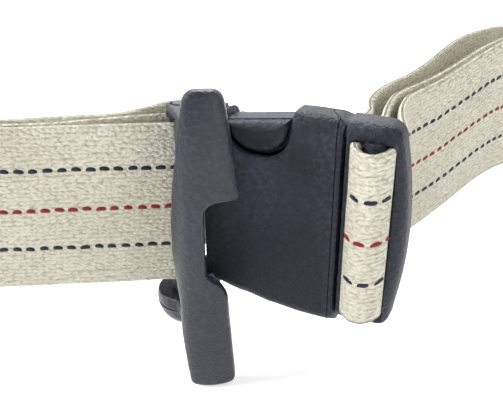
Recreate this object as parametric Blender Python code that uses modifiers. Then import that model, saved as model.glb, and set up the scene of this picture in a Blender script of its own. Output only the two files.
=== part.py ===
"""Gait belt with a quick-release buckle.

A 60 in (1524 mm) cotton strap, 2 in (50.8 mm) wide, is closed by a plastic buckle.  The receiver
half holds the adjustable end: the strap turns round a lock bar, and a sprung lever with finger
wings carries the jaw that grips it.  The insert half has a squeeze prong, a guide arm and a slotted
frame, and the other end of the strap is sewn round the frame's bar.  The belt lies buckled with its
loop pressed nearly flat: one arm runs to the left, one to the back.

Working frame: +X along the buckle towards the insert, -Y towards the viewer (away from the
wearer), +Z up across the strap.  X = 0 is the mouth of the receiver, Y = 0 the middle of the
buckle's thickness and Z = 0 the middle of the strap.  At the end everything is moved so that
the origin is at the bottom centre of the whole belt.
"""
import bpy
import bmesh
from math import atan2, cos, pi, radians, sin
from mathutils import Matrix, Vector
from mathutils.geometry import convex_hull_2d

MM = 0.001
GAP = 0.4 * MM

# Strap
STRAP_WIDTH = 50.8 * MM
STRAP_THICKNESS = 2.2 * MM
LAYER_PITCH = 2.8 * MM
ROUTE_STEP = 8.0 * MM
TURN_RADIUS = 8.0 * MM

# Receiver half
HOUSING_LENGTH = 43.0 * MM
HOUSING_SIDE = ((0.0, 31.2), (-3.0, 31.9), (-11.0, 32.0), (-20.0, 31.4), (-30.0, 30.0), (-43.0, 27.7))
BUCKLE_THICKNESS = 12.0 * MM
EDGE_ROUND = 2.2 * MM
CAVITY_DEPTH = 38.5 * MM
CAVITY_THICKNESS = 7.2 * MM
CAVITY_HALF_HEIGHT = 26.0 * MM
WINDOW_CENTRE_X = -25.6
WINDOW_HALF_LENGTH = 10.9
WINDOW_DEPTH = 13.6
WINDOW_TOP = 31.0
PAD_GAP = 0.45
PAD_TOP = ((-15.7, 29.6), (-36.0, 26.6))

# Lock bar, cheeks and lever
BAR_X = -47.7 * MM
BAR_Y = -9.5 * MM
BAR_RADIUS = 3.0 * MM
PIN_RADIUS = 2.2 * MM
UPPER_CHEEK = (27.4 * MM, 28.8 * MM)
LOWER_CHEEK = (-28.4 * MM, -24.4 * MM)
UPPER_EYE_RADIUS = 3.8 * MM
LOWER_EYE_RADIUS = 5.0 * MM
LOWER_CHEEK_REACH = 4.5 * MM
UPPER_ARM = (29.2 * MM, 31.0 * MM)
LOWER_ARM = (-33.0 * MM, -28.8 * MM)
HUB_RADIUS = 9.7 * MM
CAP_HEIGHT = 8.0 * MM
POCKET_RADIUS = 6.8 * MM
HANDLE_ANGLE = radians(26.4)
HANDLE_CENTRE = Vector((-29.5 * MM, -27.2 * MM))
HANDLE_THICKNESS = 3.8 * MM
JAW_RADIUS = 1.3 * MM
JAW_REACH = 7.6 * MM
JAW_ANGLE = radians(-60.0)

# Insert half
FRAME_LENGTH = 18.2
FRAME_TOP = 31.6
FRAME_BOTTOM = -29.0
RIGHT_BOW = 0.0043
SLOT_START = 2.5 * MM
SLOT_END = 13.9 * MM
SLOT_HALF_HEIGHT = 26.2 * MM
INSERT_BAR_X = 8.2 * MM
INSERT_BAR_Y = -4.5 * MM
INSERT_BAR_RADIUS = 3.0 * MM
PRONG_HALF_THICKNESS = 3.2 * MM
PRONG_PIVOT_Z = 23.35 * MM
ARM_OUTLINE = ((-0.5, 21.5), (-0.5, 25.2), (-15.0, 25.2), (-18.0, 25.8), (-30.0, 25.0),
               (-34.0, 23.5), (-33.0, 21.5))
GUIDE_OUTLINE = ((1.9, 21.5), (1.9, 25.2), (-30.0, 25.2), (-34.0, 23.5), (-33.0, 21.5))

# Routes of the strap's two arms
LEFT_HEADING = radians(211.5)
LEFT_LIFT = 1.6 * MM
LEFT_LEGS = ((60.0, 0.0), (238.0, -28.5))
TAIL_LENGTH = 150.0 * MM
RIGHT_LEGS = ((11.0, 0.0), (8.0, 22.0), (6.0, 0.0), (30.0, -45.0), (60.0, 0.0), (147.0, 20.0))
FOLD_LENGTH = 112.0 * MM
RISE = ((12.0, 0.0), (48.0, 3.0), (105.0, 12.5), (225.0, 0.0))
BEHIND_BUCKLE = ((-67.0, -15.0, 1.6), (-62.0, -6.0, 1.6), (-58.5, 3.0, 1.6), (-52.5, 10.0, 0.6),
                 (-44.0, 12.5, -1.0), (-30.0, 12.0, -2.0), (-16.0, 11.5, -1.5), (-8.4, 12.5, -0.5))

COLOURS = {
    "housing_plastic": ((0.030, 0.032, 0.048), 0.45),
    "lever_plastic": ((0.045, 0.047, 0.065), 0.50),
    "cotton": ((0.72, 0.69, 0.58), 0.95),
    "thread": ((0.80, 0.77, 0.68), 0.90),
    "steel": ((0.10, 0.10, 0.105), 0.40),
}


# ---------------------------------------------------------------- scene helpers

def clear_scene():
    for obj in list(bpy.data.objects):
        bpy.data.objects.remove(obj, do_unlink=True)


def new_collection(name):
    collection = bpy.data.collections.new(name)
    bpy.context.scene.collection.children.link(collection)
    return collection


def plain_material(name):
    colour, roughness = COLOURS[name]
    material = bpy.data.materials.new(name)
    material.use_nodes = True
    shader = material.node_tree.nodes["Principled BSDF"]
    shader.inputs["Base Color"].default_value = (*colour, 1.0)
    shader.inputs["Roughness"].default_value = roughness
    shader.inputs["Metallic"].default_value = 1.0 if name == "steel" else 0.0
    return material


def add_mesh_object(name, mesh):
    obj = bpy.data.objects.new(name, mesh)
    PARTS.objects.link(obj)
    return obj


def finish_part(obj, material, parent):
    """Give a finished piece its material, smooth shading and parent."""
    obj.data.materials.clear()
    obj.data.materials.append(MATERIALS[material])
    obj.data.shade_smooth()
    obj.data.set_sharp_from_angle(angle=radians(35.0))
    obj.parent = parent
    obj.matrix_parent_inverse = parent.matrix_world.inverted()
    return obj


def make_empty(name, place, parent=None):
    empty = bpy.data.objects.new(name, None)
    empty.empty_display_size = 10 * MM
    PARTS.objects.link(empty)
    empty.location = place
    if parent:
        empty.parent = parent
        empty.matrix_parent_inverse = parent.matrix_world.inverted()
    bpy.context.view_layer.update()
    return empty


def weld(mesh):
    bm = bmesh.new()
    bm.from_mesh(mesh)
    bmesh.ops.remove_doubles(bm, verts=bm.verts, dist=0.01 * MM)
    bmesh.ops.recalc_face_normals(bm, faces=bm.faces)
    bm.to_mesh(mesh)
    bm.free()


# ---------------------------------------------------------------- shape helpers

def round_corners(corners, steps=5):
    """Outline through (x, y, radius) corners, each turned into an arc of that radius."""
    outline = []
    count = len(corners)
    for i, (x, y, radius) in enumerate(corners):
        here = Vector((x, y))
        before = (Vector(corners[i - 1][:2]) - here).normalized()
        after = (Vector(corners[(i + 1) % count][:2]) - here).normalized()
        if radius <= 0.0:
            outline.append(here)
            continue
        half = before.angle(after) / 2
        reach = radius / abs(sin(half) / cos(half))
        centre = here + (before + after).normalized() * radius / sin(half)
        start = here + before * reach - centre
        end = here + after * reach - centre
        turn = start.angle_signed(end)
        for k in range(steps + 1):
            outline.append(centre + start @ Matrix.Rotation(turn * k / steps, 2))
    return outline


def circle(x, y, radius, count=32):
    return [Vector((x + radius * cos(2 * pi * k / count), y + radius * sin(2 * pi * k / count)))
            for k in range(count)]


def hull(points):
    return [points[i] for i in convex_hull_2d(points)]


def slab(name, outline, low, high, upright=False):
    """Flat outline given a thickness from low to high.

    A lying slab has its outline in X and Y; an upright one has it in X and Z and is thick along Y.
    """
    curve = bpy.data.curves.new(name, "CURVE")
    curve.dimensions = "2D"
    curve.fill_mode = "BOTH"
    curve.extrude = (high - low) / 2
    spline = curve.splines.new("POLY")
    spline.points.add(len(outline) - 1)
    for point, place in zip(spline.points, outline):
        point.co = (place[0], place[1], 0.0, 1.0)
    spline.use_cyclic_u = True
    flat = bpy.data.objects.new(name, curve)
    PARTS.objects.link(flat)
    middle = (low + high) / 2
    if upright:
        flat.matrix_world = Matrix.Translation((0, middle, 0)) @ Matrix.Rotation(pi / 2, 4, "X")
    else:
        flat.matrix_world = Matrix.Translation((0, 0, middle))
    bpy.context.view_layer.update()
    mesh = bpy.data.meshes.new_from_object(flat.evaluated_get(bpy.context.evaluated_depsgraph_get()))
    mesh.transform(flat.matrix_world)
    bpy.data.objects.remove(flat, do_unlink=True)
    weld(mesh)
    return add_mesh_object(name, mesh)


def block(name, low, high):
    bm = bmesh.new()
    bmesh.ops.create_cube(bm, size=1.0)
    low, high = Vector(low), Vector(high)
    for vert in bm.verts:
        vert.co = Vector([a + (b - a) * (c + 0.5) for a, b, c in zip(low, high, vert.co)])
    mesh = bpy.data.meshes.new(name)
    bm.to_mesh(mesh)
    bm.free()
    return add_mesh_object(name, mesh)


def rod(name, x, y, radius, low_z, high_z, sides=32):
    bm = bmesh.new()
    bmesh.ops.create_cone(bm, cap_ends=True, segments=sides, radius1=radius, radius2=radius,
                          depth=high_z - low_z,
                          matrix=Matrix.Translation((x, y, (low_z + high_z) / 2)))
    mesh = bpy.data.meshes.new(name)
    bm.to_mesh(mesh)
    bm.free()
    return add_mesh_object(name, mesh)


def turned(name, x, y, profile, steps=32):
    """Profile of (radius, z) points, top to bottom, turned about the vertical line at x, y."""
    mesh = bpy.data.meshes.new(name)
    count = len(profile)
    mesh.from_pydata([(radius, 0, z) for radius, z in profile],
                     [(i, i + 1) for i in range(count - 1)], [])
    obj = add_mesh_object(name, mesh)
    obj.location = (x, y, 0)
    screw = obj.modifiers.new("turn", "SCREW")
    screw.steps = steps
    screw.render_steps = steps
    screw.use_merge_vertices = True
    screw.merge_threshold = 0.00001
    return baked(obj)


def baked(obj):
    """Apply an object's modifiers and place, leaving its mesh in world coordinates."""
    bpy.context.view_layer.update()
    mesh = bpy.data.meshes.new_from_object(obj.evaluated_get(bpy.context.evaluated_depsgraph_get()))
    mesh.transform(obj.matrix_world)
    name = obj.name
    bpy.data.objects.remove(obj, do_unlink=True)
    return add_mesh_object(name, mesh)


def join_or_cut(obj, operation, others):
    for other in others:
        modifier = obj.modifiers.new(operation.lower(), "BOOLEAN")
        modifier.operation = operation
        modifier.object = other
    done = baked(obj)
    for other in others:
        bpy.data.objects.remove(other, do_unlink=True)
    return done


def rounded_edges(obj, width, segments=3):
    bevel = obj.modifiers.new("edges", "BEVEL")
    bevel.width = width
    bevel.segments = segments
    bevel.limit_method = "ANGLE"
    bevel.angle_limit = radians(50.0)
    return baked(obj)


def set_origin(obj, place):
    """Move an object's origin onto its joint's axis without moving its mesh."""
    obj.data.transform(Matrix.Translation(-Vector(place)))
    obj.location = place
    bpy.context.view_layer.update()
    return obj


# ---------------------------------------------------------------- strap helpers

def profile(s, table):
    """Value at arc length s, eased between the table's (mm, value) rows."""
    s = s / MM
    if s <= table[0][0]:
        return table[0][1]
    for (s0, v0), (s1, v1) in zip(table, table[1:]):
        if s <= s1:
            t = (s - s0) / (s1 - s0)
            return v0 + (v1 - v0) * t * t * (3 - 2 * t)
    return table[-1][1]


class Arm:
    """Plan route of one arm of the belt: straight and curved legs from a start and heading."""

    def __init__(self, start, heading, legs):
        self.start = Vector(start)
        self.heading = heading
        self.legs = [(length * MM, radians(turn)) for length, turn in legs]
        self.length = sum(length for length, _ in self.legs)

    def at(self, s):
        """Point and heading after a length s along the arm."""
        point, heading = self.start.copy(), self.heading
        for length, turn in self.legs:
            run = min(s, length)
            swing = turn * run / length
            if abs(swing) < 1e-6:
                point += Vector((cos(heading), sin(heading))) * run
            else:
                chord = 2 * run / swing * sin(swing / 2)
                middle = heading + swing / 2
                point += Vector((cos(middle), sin(middle))) * chord
            heading += swing
            s -= run
            if s <= 0:
                break
        return point, heading

    def knot(self, s, offset, rise=0.0):
        """Knot (x, y, z) at length s, moved sideways by offset."""
        point, heading = self.at(s)
        place = point + Vector((-sin(heading), cos(heading))) * offset
        return place.x, place.y, rise


def half_turn(arm, low_offset, high_offset):
    """Knots of the turn at the arm's end, from one layer's offset to the other's."""
    point, heading = arm.at(arm.length)
    ahead = Vector((cos(heading), sin(heading)))
    side = Vector((-ahead.y, ahead.x))
    centre = point + side * (low_offset + high_offset) / 2
    radius = (high_offset - low_offset) / 2
    knots = []
    for k in range(1, 8):
        a = pi * k / 8
        place = centre - side * radius * cos(a) + ahead * abs(radius) * sin(a)
        knots.append((place.x, place.y, 0.0))
    return knots


def smooth(knots, step):
    """Even samples of a Catmull-Rom curve through (x, y, z) knots."""
    knots = [Vector(k) for k in knots]
    samples = [knots[0]]
    for i in range(len(knots) - 1):
        p0, p1, p2 = knots[max(i - 1, 0)], knots[i], knots[i + 1]
        p3 = knots[min(i + 2, len(knots) - 1)]
        count = max(1, round((p2 - p1).length / step))
        for k in range(1, count + 1):
            t = k / count
            samples.append(0.5 * ((2 * p1) + (p2 - p0) * t + (2 * p0 - 5 * p1 + 4 * p2 - p3) * t ** 2
                                  + (3 * p1 - p0 - 3 * p2 + p3) * t ** 3))
    return samples


def ribbon(name, path, width=STRAP_WIDTH, thickness=STRAP_THICKNESS, shift=0.0):
    """Strap on edge along (x, y, z) samples: a strip of quads given its thickness."""
    bm = bmesh.new()
    rungs = []
    for i, sample in enumerate(path):
        ahead = (path[min(i + 1, len(path) - 1)] - path[max(i - 1, 0)]).xy.normalized()
        side = Vector((-ahead.y, ahead.x, 0.0))
        centre = sample + side * shift
        rungs.append([bm.verts.new(centre + Vector((0, 0, k * width / 2))) for k in (-1, 1)])
    for (a, b), (c, d) in zip(rungs, rungs[1:]):
        bm.faces.new((a, b, d, c))
    mesh = bpy.data.meshes.new(name)
    bm.to_mesh(mesh)
    bm.free()
    obj = add_mesh_object(name, mesh)
    solidify = obj.modifiers.new("thickness", "SOLIDIFY")
    solidify.thickness = thickness
    solidify.offset = 0.0
    solidify.use_even_offset = True
    done = baked(obj)
    weld(done.data)
    return done


def path_length(path):
    return sum((b - a).length for a, b in zip(path, path[1:]))


# ---------------------------------------------------------------- receiver half

def housing_half_height(x):
    return profile(-x * MM, [(-place, half) for place, half in HOUSING_SIDE])


def window_outline(inset, top):
    """The D-shaped side window: a flat arc whose two ends rise steeply to the housing's edge."""
    outline = []
    for k in range(21):
        a = pi + pi * k / 20
        turn = 1 if cos(a) > 0 else -1
        x = WINDOW_CENTRE_X + (WINDOW_HALF_LENGTH - inset) * abs(cos(a)) ** 0.8 * turn
        outline.append((x, WINDOW_TOP - (WINDOW_DEPTH - inset) * abs(sin(a)) ** 0.75))
    return outline + [(outline[-1][0], top), (outline[0][0], top)]


def cheek(name, low, high, eye_radius, reach=0.0):
    """Ear of the housing that holds one end of the lock bar; reach widens its back corner."""
    foot_x = -HOUSING_LENGTH + 4 * MM
    half = BUCKLE_THICKNESS / 2 - 2.2 * MM
    foot = [Vector((foot_x, y)) for y in (-half, half)] + [Vector((-HOUSING_LENGTH - reach, half))]
    return slab(name, hull(circle(BAR_X, BAR_Y, eye_radius) + foot), low, high)


def receiver_housing(parent):
    half = BUCKLE_THICKNESS / 2
    stations = [HOUSING_SIDE[-1][0] * k / 14 for k in range(15)]
    top = [Vector((x * MM, housing_half_height(x) * MM)) for x in stations]
    outline = top + [Vector((p.x, -p.y)) for p in reversed(top)]
    body = rounded_edges(slab("receiver_housing", outline, -half, half, upright=True), EDGE_ROUND)
    body = join_or_cut(body, "UNION", [cheek("upper_cheek", *UPPER_CHEEK, UPPER_EYE_RADIUS),
                                       cheek("lower_cheek", *LOWER_CHEEK, LOWER_EYE_RADIUS,
                                             LOWER_CHEEK_REACH)])
    window = [Vector((x * MM, z * MM)) for x, z in window_outline(0.0, WINDOW_TOP + 4.0)]
    cuts = [block("cavity", (-CAVITY_DEPTH, -CAVITY_THICKNESS / 2, -CAVITY_HALF_HEIGHT),
                  (1 * MM, CAVITY_THICKNESS / 2, CAVITY_HALF_HEIGHT)),
            slab("window", window, -half - 1 * MM, half + 1 * MM, upright=True),
            rod("pin_hole", BAR_X, BAR_Y, PIN_RADIUS + 0.3 * MM, 20 * MM, 36 * MM),
            rod("bar_hole", BAR_X, BAR_Y, BAR_RADIUS + 0.3 * MM, -36 * MM, -20 * MM)]
    return finish_part(join_or_cut(body, "DIFFERENCE", cuts), "housing_plastic", parent)


def lock_bar(parent):
    """Steel bar that the strap turns round and the lever swings on, with a thinner upper end."""
    shoulder, end = UPPER_CHEEK[0] - 0.1 * MM, UPPER_ARM[1] + 0.2 * MM
    outline = [(0, end), (PIN_RADIUS - 0.3 * MM, end), (PIN_RADIUS, end - 0.3 * MM),
               (PIN_RADIUS, shoulder), (BAR_RADIUS, shoulder), (BAR_RADIUS, LOWER_ARM[0]),
               (0, LOWER_ARM[0])]
    return finish_part(turned("lock_bar", BAR_X, BAR_Y, outline), "steel", parent)


def return_spring(parent):
    """Torsion spring round the bar's lower end, inside the lever's hub."""
    wire, radius, turns, pitch = 0.45 * MM, 5.2 * MM, 1.6, 1.1 * MM
    curve = bpy.data.curves.new("return_spring", "CURVE")
    curve.dimensions = "3D"
    curve.bevel_depth = wire
    curve.bevel_resolution = 2
    curve.use_fill_caps = True
    spline = curve.splines.new("POLY")
    count = int(turns * 16) + 1
    spline.points.add(count - 1)
    top = -30.8 * MM
    for k, point in enumerate(spline.points):
        a = 2 * pi * turns * k / (count - 1)
        point.co = (BAR_X + radius * cos(a), BAR_Y + radius * sin(a), top - pitch * a / (2 * pi), 1)
    obj = bpy.data.objects.new("return_spring", curve)
    PARTS.objects.link(obj)
    done = baked(obj)
    weld(done.data)
    return finish_part(done, "steel", parent)


# ---------------------------------------------------------------- lever

def handle_place():
    """Matrix from the handle's own plane (across, up, towards the viewer) to the working frame."""
    across = Vector((cos(HANDLE_ANGLE), sin(HANDLE_ANGLE), 0))
    front = Vector((sin(HANDLE_ANGLE), -cos(HANDLE_ANGLE), 0))
    matrix = Matrix((across, (0, 0, 1), front)).transposed().to_4x4()
    matrix.translation = (*HANDLE_CENTRE, 0)
    return matrix


def lever_handle():
    """Bowed grip seen from the front: a wide thumb wing above, a mast, and a finger tab below."""
    corners = [(-4.8, 41.8, 3.6), (5.0, 41.8, 3.6), (9.3, 11.8, 1.0), (-0.7, 12.4, 3.4),
               (-0.7, -9.6, 2.4), (3.6, -12.6, 2.0), (5.4, -16.5, 4.0), (7.3, -48.5, 1.6),
               (-6.0, -48.5, 1.6), (-7.9, -30.0, 8.0), (-8.0, -20.0, 8.0), (-9.8, -6.0, 8.0),
               (-9.8, 4.0, 20.0), (-9.0, 13.0, 30.0)]
    outline = round_corners([(x * MM, y * MM, r * MM) for x, y, r in corners], steps=4)
    plate = slab("release_lever", outline, -HANDLE_THICKNESS, 0)
    plate = rounded_edges(plate, 1.2 * MM, 2)
    plate.data.transform(handle_place())
    return plate


def lever_arm(name, radius, low_z, high_z, half_reach):
    """Arm from the hub on the lock bar to the back of the handle."""
    back = [handle_place() @ Vector((s * MM, 0, -d * MM))
            for s in half_reach for d in (1.5, 3.5)]
    outline = hull(circle(BAR_X, BAR_Y, radius) + [p.xy for p in back])
    return slab(name, outline, low_z, high_z)


def release_lever(parent):
    lever = join_or_cut(lever_handle(), "UNION", [
        lever_arm("upper_arm", UPPER_EYE_RADIUS, *UPPER_ARM, (-4.0, 4.0)),
        lever_arm("lower_arm", HUB_RADIUS, *LOWER_ARM, (-5.0, 3.0))])
    cuts = [rod("pin_hole", BAR_X, BAR_Y, PIN_RADIUS + 0.3 * MM, 20 * MM, 36 * MM),
            rod("bar_hole", BAR_X, BAR_Y, BAR_RADIUS + 0.3 * MM, -40 * MM, -20 * MM),
            rod("spring_pocket", BAR_X, BAR_Y, POCKET_RADIUS, -40 * MM, -30.2 * MM)]
    lever = join_or_cut(lever, "DIFFERENCE", cuts)
    return finish_part(set_origin(lever, (BAR_X, BAR_Y, 0)), "lever_plastic", parent)


def spring_cap(parent):
    """Domed cap that closes the spring's pocket under the hub."""
    top = LOWER_ARM[0] - 0.3 * MM
    dome = [(0, top), (HUB_RADIUS - 0.3 * MM, top), (HUB_RADIUS, top - 0.4 * MM)]
    for k in range(1, 8):
        a = pi / 2 * k / 7
        dome.append((HUB_RADIUS * cos(a) if k < 7 else 0.0, top - 0.4 * MM - CAP_HEIGHT * sin(a)))
    cap = set_origin(turned("spring_cap", BAR_X, BAR_Y, dome), (BAR_X, BAR_Y, 0))
    return finish_part(cap, "lever_plastic", parent)


def grip_jaw(parent):
    """Bar that presses the strap onto the lock bar."""
    x = BAR_X + JAW_REACH * cos(JAW_ANGLE)
    y = BAR_Y + JAW_REACH * sin(JAW_ANGLE)
    low, high = LOWER_ARM[1] + GAP, UPPER_ARM[0] - GAP
    return finish_part(rod("grip_jaw", x, y, JAW_RADIUS, low, high, sides=12), "steel", parent)


# ---------------------------------------------------------------- insert half

def insert_outline():
    """Frame seen from the front: its outer side is bowed, with rounded corners."""
    def right(z):
        return FRAME_LENGTH - RIGHT_BOW * z * z
    quarter = [pi / 2 * k / 4 for k in range(5)]
    outline = [(0.3, FRAME_BOTTOM), (0.3, FRAME_TOP)]
    outline += [(right(27.0) - 4.4 * (1 - sin(a)), FRAME_TOP - 4.4 * (1 - cos(a))) for a in quarter]
    outline += [(right(z), z) for z in range(22, -22, -4)]
    outline += [(right(24.0) - 4.0 * (1 - cos(a)), FRAME_BOTTOM + 4.0 * (1 - sin(a))) for a in quarter]
    return [Vector((x * MM, z * MM)) for x, z in outline]


def insert_frame(parent):
    half = BUCKLE_THICKNESS / 2
    body = rounded_edges(slab("insert_frame", insert_outline(), -half, half, upright=True), 1.5 * MM)
    high = SLOT_HALF_HEIGHT
    slot = round_corners([(SLOT_START, -high, 1 * MM), (SLOT_START, high, 1 * MM),
                          (SLOT_END, high, 1 * MM), (SLOT_END, -high, 1 * MM)], 2)
    low_rail = block("low_rail", (SLOT_START - 0.3 * MM, -12 * MM, -34 * MM),
                     (SLOT_END + 0.3 * MM, -3.1 * MM, -high + 3.0 * MM))
    tongue = round_corners([(1.5 * MM, -8 * MM, 0), (1.5 * MM, 8 * MM, 0), (-31 * MM, 6.5 * MM, 2 * MM),
                            (-31 * MM, -6.5 * MM, 2 * MM)], 3)
    guide = [Vector((x * MM, -z * MM)) for x, z in GUIDE_OUTLINE]
    body = join_or_cut(body, "UNION", [
        slab("tongue", tongue, -2.8 * MM, 2.8 * MM, upright=True),
        slab("guide", guide, -PRONG_HALF_THICKNESS, PRONG_HALF_THICKNESS, upright=True)])
    body = join_or_cut(body, "DIFFERENCE",
                       [slab("slot", slot, -half - 1 * MM, half + 1 * MM, upright=True), low_rail])
    bar = rod("bar", INSERT_BAR_X, INSERT_BAR_Y, INSERT_BAR_RADIUS, -26.8 * MM, 27 * MM, sides=24)
    body = join_or_cut(body, "UNION", [bar])
    return finish_part(body, "housing_plastic", parent)


def squeeze_prong(parent):
    """Springy arm along the housing's upper side, with a pad that stands in the side window."""
    outline = [Vector((x * MM, z * MM)) for x, z in ARM_OUTLINE]
    body = slab("upper_prong", outline, -PRONG_HALF_THICKNESS, PRONG_HALF_THICKNESS, upright=True)
    (x0, z0), (x1, z1) = PAD_TOP
    pad = []
    for x, z in window_outline(PAD_GAP, WINDOW_TOP + 4.0):
        ceiling = z0 + (z1 - z0) * (x - x0) / (x1 - x0)
        pad.append(Vector((x * MM, min(z, ceiling) * MM)))
    half = PRONG_HALF_THICKNESS + 0.2 * MM
    body = join_or_cut(body, "UNION", [slab("pad", pad, -half, half, upright=True)])
    return finish_part(set_origin(body, (-0.5 * MM, 0, PRONG_PIVOT_Z)), "housing_plastic", parent)


# ---------------------------------------------------------------- strap

def wrap(x, y, radius, start_angle, end_angle, z=0.0, steps=12):
    """Samples of the strap where it turns round a bar."""
    return [Vector((x + radius * cos(a), y + radius * sin(a), z))
            for a in (start_angle + (end_angle - start_angle) * k / steps for k in range(steps + 1))]


def trimmed(path, front=0.0, back=0.0):
    """Path with a little cut from its ends, so that the next piece of strap doesn't touch it."""
    path = [p.copy() for p in path]
    if front:
        path[0] += (path[1] - path[0]).normalized() * front
    if back:
        path[-1] += (path[-2] - path[-1]).normalized() * back
    return path


def strap_routes():
    """Every stretch of the strap, by node name, in the order that the strap runs."""
    left_reach = BAR_RADIUS + 0.3 * MM + STRAP_THICKNESS / 2
    right_reach = INSERT_BAR_RADIUS + 0.3 * MM + STRAP_THICKNESS / 2
    leave = Vector((-sin(LEFT_HEADING), cos(LEFT_HEADING)))
    left = Arm(Vector((BAR_X, BAR_Y)) + leave * left_reach, LEFT_HEADING, LEFT_LEGS)
    right = Arm((INSERT_BAR_X + right_reach, INSERT_BAR_Y), pi / 2, RIGHT_LEGS)

    main_offset = ((0.0, -2 * left_reach / MM), (42.0, -LAYER_PITCH / MM))
    far_left_offset = ((28.0, -8.4), (60.0, -2 * LAYER_PITCH / MM),
                       (left.length / MM - 70.0, -2 * LAYER_PITCH / MM),
                       (left.length / MM, -(LAYER_PITCH + 2 * TURN_RADIUS) / MM))
    fold_offset = ((0.0, 2 * right_reach / MM), (8.0, 2 * right_reach / MM), (34.0, 4.2),
                   (85.0, LAYER_PITCH / MM))
    far_right_offset = ((28.0, 9.8), (60.0, 11.5), (100.0, 15.0), (140.0, 20.0),
                        (right.length / MM, 2 * TURN_RADIUS / MM))

    def lengths(start, end, step=ROUTE_STEP):
        count = max(1, round(abs(end - start) / step))
        return [start + (end - start) * k / count for k in range(count + 1)]

    def right_knot(s, table):
        offset = profile(s, table) * MM if table else 0.0
        return right.knot(s, offset, profile(s, RISE) * MM)

    def lifted(knots):
        return [(x, y, z + LEFT_LIFT) for x, y, z in knots]

    tail = lifted([left.knot(s, 0) for s in lengths(0, TAIL_LENGTH)])
    toward_bar = atan2(leave.y, leave.x)
    lock_wrap = wrap(BAR_X, BAR_Y, left_reach, toward_bar, toward_bar + pi, LEFT_LIFT)
    left_out = [left.knot(s, profile(s, main_offset) * MM) for s in lengths(0, left.length)]
    left_turn = half_turn(left, -LAYER_PITCH, -(LAYER_PITCH + 2 * TURN_RADIUS))
    left_back = [left.knot(s, profile(s, far_left_offset) * MM) for s in lengths(left.length, 60 * MM)]
    behind = lifted([left.knot(s, profile(s, far_left_offset) * MM)
                     for s in lengths(60 * MM, 36 * MM)])
    behind += [(x * MM, y * MM, z * MM) for x, y, z in BEHIND_BUCKLE]
    behind += [right_knot(s, far_right_offset) for s in lengths(28 * MM, right.length)]
    right_turn = list(reversed(half_turn(right, 0, 2 * TURN_RADIUS)))
    right_in = [right_knot(s, None) for s in lengths(right.length, 0)]
    bar_wrap = wrap(INSERT_BAR_X, INSERT_BAR_Y, right_reach, 0, -pi)
    fold = [right_knot(s, fold_offset) for s in lengths(0, FOLD_LENGTH)]

    fine = 4 * MM
    end_gap = 0.3 * MM
    right_end = [right_knot(right.length, far_right_offset)]
    return {
        "webbing_tail": trimmed(smooth(tail, ROUTE_STEP), front=end_gap),
        "webbing_lock_wrap": lock_wrap,
        "webbing_left_loop": trimmed(smooth(lifted(left_out + left_turn + left_back), fine + 1 * MM),
                                     front=end_gap, back=end_gap),
        "webbing_back_run": smooth(behind, fine + 1 * MM),
        "webbing_right_loop": trimmed(smooth(right_end + right_turn + right_in, fine + 1 * MM),
                                      front=end_gap, back=end_gap),
        "webbing_bar_wrap": bar_wrap,
        "webbing_fold_back": trimmed(smooth(fold, fine + 1 * MM), front=end_gap),
    }


def tail_hem(path, parent):
    """The tail's end, folded back over itself once and sewn down."""
    hem = ribbon("tail_hem", path[-3:], thickness=STRAP_THICKNESS * 0.8,
                 shift=STRAP_THICKNESS * 0.9 + 0.4 * MM)
    return finish_part(hem, "cotton", parent)


def fold_stitching(path, parent):
    """Two rows of thread that sew the folded end down, standing a little above its face."""
    along = path[-6:]
    for row, first in enumerate((0, 4), start=1):
        thread = ribbon("stitch_row_%d" % row, along[first:first + 2], width=STRAP_WIDTH * 0.8,
                        thickness=0.6 * MM, shift=STRAP_THICKNESS / 2 + 0.6 * MM)
        finish_part(thread, "thread", parent)


def stand_on_origin(top):
    """Move the belt so that its box's bottom centre is at the world's origin."""
    bpy.context.view_layer.update()
    corners = []
    for obj in PARTS.objects:
        if obj.type == "MESH":
            corners += [obj.matrix_world @ vert.co for vert in obj.data.vertices]
    low = Vector([min(c[i] for c in corners) for i in range(3)])
    high = Vector([max(c[i] for c in corners) for i in range(3)])
    middle = (low + high) / 2
    top.location = (-middle.x, -middle.y, -low.z)
    bpy.context.view_layer.update()


clear_scene()
PARTS = new_collection("gait_belt")
MATERIALS = {name: plain_material(name) for name in COLOURS}

belt = make_empty("belt", (0, 0, 0))
lever_axis = make_empty("lever_axis", (BAR_X, BAR_Y, 0), belt)
insert_half = make_empty("insert_half", (0, 0, 0), belt)
prong_axis = make_empty("upper_prong_axis", (-0.5 * MM, 0, PRONG_PIVOT_Z), insert_half)

receiver_housing(belt)
lock_bar(belt)
return_spring(belt)
release_lever(lever_axis)
spring_cap(lever_axis)
grip_jaw(lever_axis)
insert_frame(insert_half)
squeeze_prong(prong_axis)

ROUTES = strap_routes()
for node, route in ROUTES.items():
    on_insert = node in ("webbing_right_loop", "webbing_bar_wrap", "webbing_fold_back")
    finish_part(ribbon(node, route), "cotton", insert_half if on_insert else belt)
tail_hem(ROUTES["webbing_tail"], belt)
fold_stitching(ROUTES["webbing_fold_back"], insert_half)

stand_on_origin(belt)
print("strap length %.1f mm" % (sum(path_length(r) for r in ROUTES.values()) / MM))
print("belt moved by", [round(v, 6) for v in belt.location])
print("joint places", {axis.name: [round(v, 6) for v in axis.matrix_world.translation]
                       for axis in (lever_axis, prong_axis)})
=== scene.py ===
"""Looks of the gait belt: woven cotton strap, side-release buckle and web-lock lever.

Every shape is drawn in the buckle's own frame, in millimetres: X = 0 at the receiver's mouth and
+X towards the insert half, -Y out of the front face, Z = 0 at the middle of the strap.  ORIGIN,
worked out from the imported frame, carries it to the row frame.
"""

import random
from math import atan2, cos, pi, radians, sin, sqrt

import bmesh
import bpy
from mathutils import Matrix, Vector, noise
from mathutils.geometry import convex_hull_2d


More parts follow.
